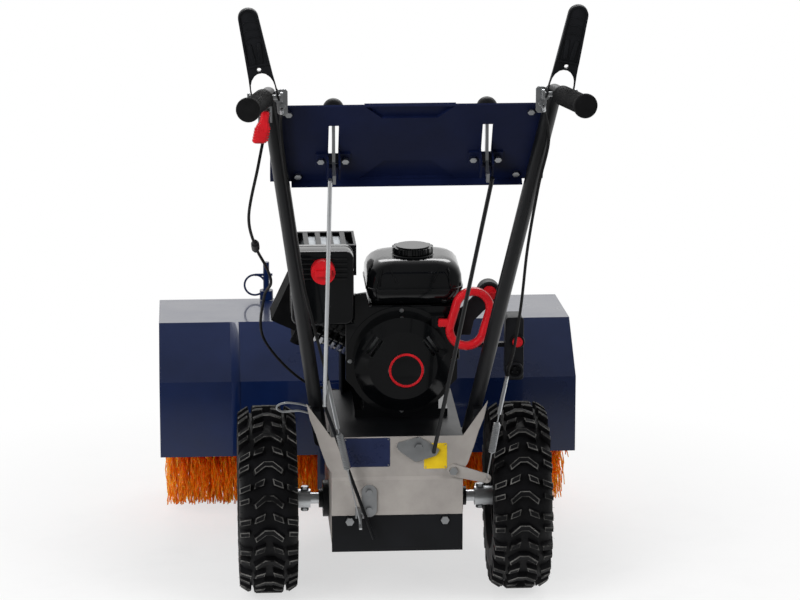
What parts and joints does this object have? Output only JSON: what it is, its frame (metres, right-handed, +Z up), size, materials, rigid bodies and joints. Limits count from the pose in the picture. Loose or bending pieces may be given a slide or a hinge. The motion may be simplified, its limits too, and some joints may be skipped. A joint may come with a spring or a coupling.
{
  "type": "walk-behind power brush sweeper",
  "caption": "Walk-behind petrol sweeper: lugged drive wheels, grey gear case, engine, raked handle with clutch paddles and dash levers, and a hooded roller brush on castors.",
  "frame": {"origin": "centre of the bounding box at floor level, where the tyres and castor wheels stand", "axes": "+X to the operator's right, +Y forward toward the brush, +Z up"},
  "size_m": [0.769, 1.5038, 1.1529],
  "materials": {
    "grey_paint": "satin",
    "black_paint": "satin",
    "gloss_black": "gloss",
    "black_plastic": "matte",
    "navy_paint": "gloss",
    "zinc_steel": "satin",
    "cast_aluminium": "matte",
    "black_rubber": "matte",
    "tyre_rubber": "matte",
    "red_plastic": "gloss",
    "bristle_plastic": "matte"
  },
  "bodies": {
    "chassis": {"gear_case": "grey_paint", "bottom_cover": "black_paint", "fasteners": "zinc_steel", "swivel_yoke": "grey_paint", "axle_bearings": "black_paint", "belt_cover": "black_paint", "drive_belts": "black_rubber", "engine_block": "black_paint", "cylinder_head": "cast_aluminium", "recoil_housing": "gloss_black", "fuel_tank": "gloss_black", "air_box": "gloss_black", "muffler": "zinc_steel", "muffler_guard": "black_paint", "switch_box": "gloss_black", "handle_tubes": "black_paint", "grips": "black_rubber", "dash_panel": "navy_paint", "lever_brackets": "zinc_steel", "control_cables": "black_rubber", "drive_spring": "zinc_steel", "brush_spring": "zinc_steel"},
    "wheels": {"axle": "zinc_steel", "rims": "black_paint", "tyres": "tyre_rubber"},
    "hex_shaft": {"hex_shaft": "zinc_steel"},
    "friction_wheel": {"friction_wheel": "black_rubber"},
    "crankshaft": {"crankshaft": "zinc_steel"},
    "drive_disc": {"drive_disc": "zinc_steel"},
    "brush_head": {"head_frame": "navy_paint", "hood": "navy_paint", "brush_gearbox": "black_paint", "support_posts": "navy_paint"},
    "brush": {"brush_shaft": "zinc_steel", "left_bristles": "bristle_plastic", "right_bristles": "bristle_plastic"},
    "input_shaft": {"input_shaft": "zinc_steel"},
    "brush_pulley": {"brush_pulley": "zinc_steel"},
    "angle_lever": {"angle_lever": "zinc_steel", "angle_knob": "gloss_black"},
    "speed_lever": {"speed_lever": "zinc_steel", "speed_knob": "gloss_black"},
    "fuel_cap": {"fuel_cap": "gloss_black"},
    "choke_knob": {"choke_knob": "red_plastic"},
    "pull_handle": {"pull_handle": "red_plastic"},
    "recoil_reel": {"recoil_reel": "black_plastic"},
    "start_button": {"start_button": "red_plastic"},
    "ignition_key": {"ignition_key": "red_plastic"},
    "left_paddle": {"left_paddle": "black_plastic"},
    "right_paddle": {"right_paddle": "black_plastic"},
    "trigger": {"trigger": "red_plastic"},
    "angle_rod": {"angle_rod": "zinc_steel"},
    "speed_rod": {"speed_rod": "black_paint"},
    "speed_crank": {"speed_crank": "zinc_steel"},
    "drive_clutch_arm": {"drive_clutch_arm": "grey_paint"},
    "brush_clutch_arm": {"brush_clutch_arm": "zinc_steel"},
    "left_castor": {"left_castor": "zinc_steel"},
    "right_castor": {"right_castor": "zinc_steel"},
    "left_castor_wheel": {"left_castor_wheel": "black_rubber"},
    "right_castor_wheel": {"right_castor_wheel": "black_rubber"}
  },
  "joints": [
    {"name": "axle_spin", "type": "hinge", "parent": "chassis", "child": "wheels", "pos_m": [0.028, -0.06012, 0.167], "axis": [1, 0, 0], "continuous": true},
    {"name": "hex_spin", "type": "hinge", "parent": "chassis", "child": "hex_shaft", "pos_m": [0.028, -0.03263, 0.21578], "axis": [1, 0, 0], "continuous": true},
    {"name": "friction_shift", "type": "slide", "parent": "hex_shaft", "child": "friction_wheel", "axis": [1, 0, 0], "range_m": [-0.017, 0.031]},
    {"name": "crank_spin", "type": "hinge", "parent": "chassis", "child": "crankshaft", "pos_m": [0.042, -0.06012, 0.43], "axis": [0, 1, 0], "continuous": true},
    {"name": "disc_spin", "type": "hinge", "parent": "chassis", "child": "drive_disc", "pos_m": [0.042, -0.06012, 0.21578], "axis": [0, 1, 0], "continuous": true},
    {"name": "brush_spin", "type": "hinge", "parent": "brush_head", "child": "brush", "pos_m": [0, 0.45787, 0.1755], "axis": [1, 0, 0], "continuous": true},
    {"name": "input_spin", "type": "hinge", "parent": "brush_head", "child": "input_shaft", "pos_m": [0, 0.45787, 0.1755], "axis": [0, 1, 0], "continuous": true},
    {"name": "pulley_spin", "type": "hinge", "parent": "chassis", "child": "brush_pulley", "pos_m": [0, 0.11987, 0.1755], "axis": [0, 1, 0], "continuous": true},
    {"name": "head_swivel", "type": "hinge", "parent": "chassis", "child": "brush_head", "pos_m": [0, 0.18987, 0.1755], "axis": [0, 0, 1], "range_deg": [-20, 20]},
    {"name": "left_castor_swivel", "type": "hinge", "parent": "brush_head", "child": "left_castor", "pos_m": [-0.178, 0.71788, 0.295], "axis": [0, 0, 1], "continuous": true},
    {"name": "left_castor_roll", "type": "hinge", "parent": "left_castor", "child": "left_castor_wheel", "pos_m": [-0.178, 0.69188, 0.06], "axis": [1, 0, 0], "continuous": true},
    {"name": "right_castor_swivel", "type": "hinge", "parent": "brush_head", "child": "right_castor", "pos_m": [0.178, 0.71788, 0.295], "axis": [0, 0, 1], "continuous": true},
    {"name": "right_castor_roll", "type": "hinge", "parent": "right_castor", "child": "right_castor_wheel", "pos_m": [0.178, 0.69188, 0.06], "axis": [1, 0, 0], "continuous": true},
    {"name": "left_paddle_press", "type": "hinge", "parent": "chassis", "child": "left_paddle", "pos_m": [-0.20445, -0.6285, 1.00619], "axis": [1, 0, 0], "range_deg": [0, 50], "stiffness_Nm_per_rad": 1.5, "springref_deg": -28.65},
    {"name": "right_paddle_press", "type": "hinge", "parent": "chassis", "child": "right_paddle", "pos_m": [0.26045, -0.6285, 1.00619], "axis": [1, 0, 0], "range_deg": [0, 50], "stiffness_Nm_per_rad": 1.5, "springref_deg": -28.65},
    {"name": "brush_clutch_swing", "type": "hinge", "parent": "chassis", "child": "brush_clutch_arm", "pos_m": [-0.038, -0.22112, 0.19], "axis": [1, 0, 0], "range_deg": [-13, 0], "deforming": ["brush_spring"]},
    {"name": "drive_clutch_swing", "type": "hinge", "parent": "chassis", "child": "drive_clutch_arm", "pos_m": [0.125, -0.21513, 0.262], "axis": [0, 1, 0], "range_deg": [-13, 0], "deforming": ["drive_spring"]},
    {"name": "trigger_pull", "type": "hinge", "parent": "chassis", "child": "trigger", "pos_m": [-0.20469, -0.62947, 0.97972], "axis": [-1, 0, 0], "range_deg": [0, 25], "stiffness_Nm_per_rad": 0.4, "springref_deg": -17.19},
    {"name": "angle_lever_tilt", "type": "hinge", "parent": "chassis", "child": "angle_lever", "pos_m": [-0.093, -0.52489, 0.872], "axis": [1, 0, 0], "range_deg": [-15, 8]},
    {"name": "angle_rod_slide", "type": "slide", "parent": "chassis", "child": "angle_rod", "axis": [0.0026, 0.5609, -0.8279], "range_m": [-0.008, 0.0045]},
    {"name": "speed_lever_tilt", "type": "hinge", "parent": "chassis", "child": "speed_lever", "pos_m": [0.154, -0.52489, 0.872], "axis": [1, 0, 0], "range_deg": [-15, 8]},
    {"name": "speed_rod_slide", "type": "slide", "parent": "chassis", "child": "speed_rod", "axis": [-0.1096, 0.4939, -0.8626], "range_m": [-0.008, 0.0045]},
    {"name": "speed_crank_swing", "type": "hinge", "parent": "chassis", "child": "speed_crank", "pos_m": [0.065, -0.21413, 0.305], "axis": [0, 1, 0], "range_deg": [-17, 9]},
    {"name": "pull_handle_draw", "type": "slide", "parent": "chassis", "child": "pull_handle", "axis": [0, -0.5623, 0.8269], "range_m": [0, 0.45], "stiffness_N_per_m": 12, "springref_m": -0.05},
    {"name": "recoil_reel_turn", "type": "hinge", "parent": "chassis", "child": "recoil_reel", "pos_m": [0.042, -0.13012, 0.43], "axis": [0, 1, 0], "range_deg": [0, 490]},
    {"name": "fuel_cap_turn", "type": "hinge", "parent": "chassis", "child": "fuel_cap", "pos_m": [0.065, -0.04213, 0.617], "axis": [0, 0, 1], "range_deg": [0, 90]},
    {"name": "choke_turn", "type": "hinge", "parent": "chassis", "child": "choke_knob", "pos_m": [-0.096, -0.13012, 0.6], "axis": [0, 1, 0], "range_deg": [0, 90]},
    {"name": "start_button_press", "type": "slide", "parent": "chassis", "child": "start_button", "axis": [0, 1, 0], "range_m": [0, 0.003], "stiffness_N_per_m": 300, "springref_m": -0.002},
    {"name": "ignition_key_pull", "type": "slide", "parent": "chassis", "child": "ignition_key", "axis": [0, -1, 0], "range_m": [0, 0.012]}
  ],
  "couplings": [
    {"joint": "hex_spin", "follows": "axle_spin", "ratio": -2.5},
    {"joint": "friction_shift", "follows": "speed_lever_tilt", "m_per_rad": -0.11},
    {"joint": "speed_rod_slide", "follows": "speed_lever_tilt", "m_per_rad": 0.0302},
    {"joint": "speed_crank_swing", "follows": "speed_lever_tilt", "ratio": 1.1},
    {"joint": "angle_rod_slide", "follows": "angle_lever_tilt", "m_per_rad": 0.0302},
    {"joint": "disc_spin", "follows": "crank_spin", "ratio": 0.798},
    {"joint": "input_spin", "follows": "brush_spin", "ratio": 2},
    {"joint": "pulley_spin", "follows": "brush_spin", "ratio": 2},
    {"joint": "brush_clutch_swing", "follows": "left_paddle_press", "ratio": -0.25},
    {"joint": "drive_clutch_swing", "follows": "right_paddle_press", "ratio": -0.25},
    {"joint": "recoil_reel_turn", "follows": "pull_handle_draw", "rad_per_m": 18.5}
  ]
}
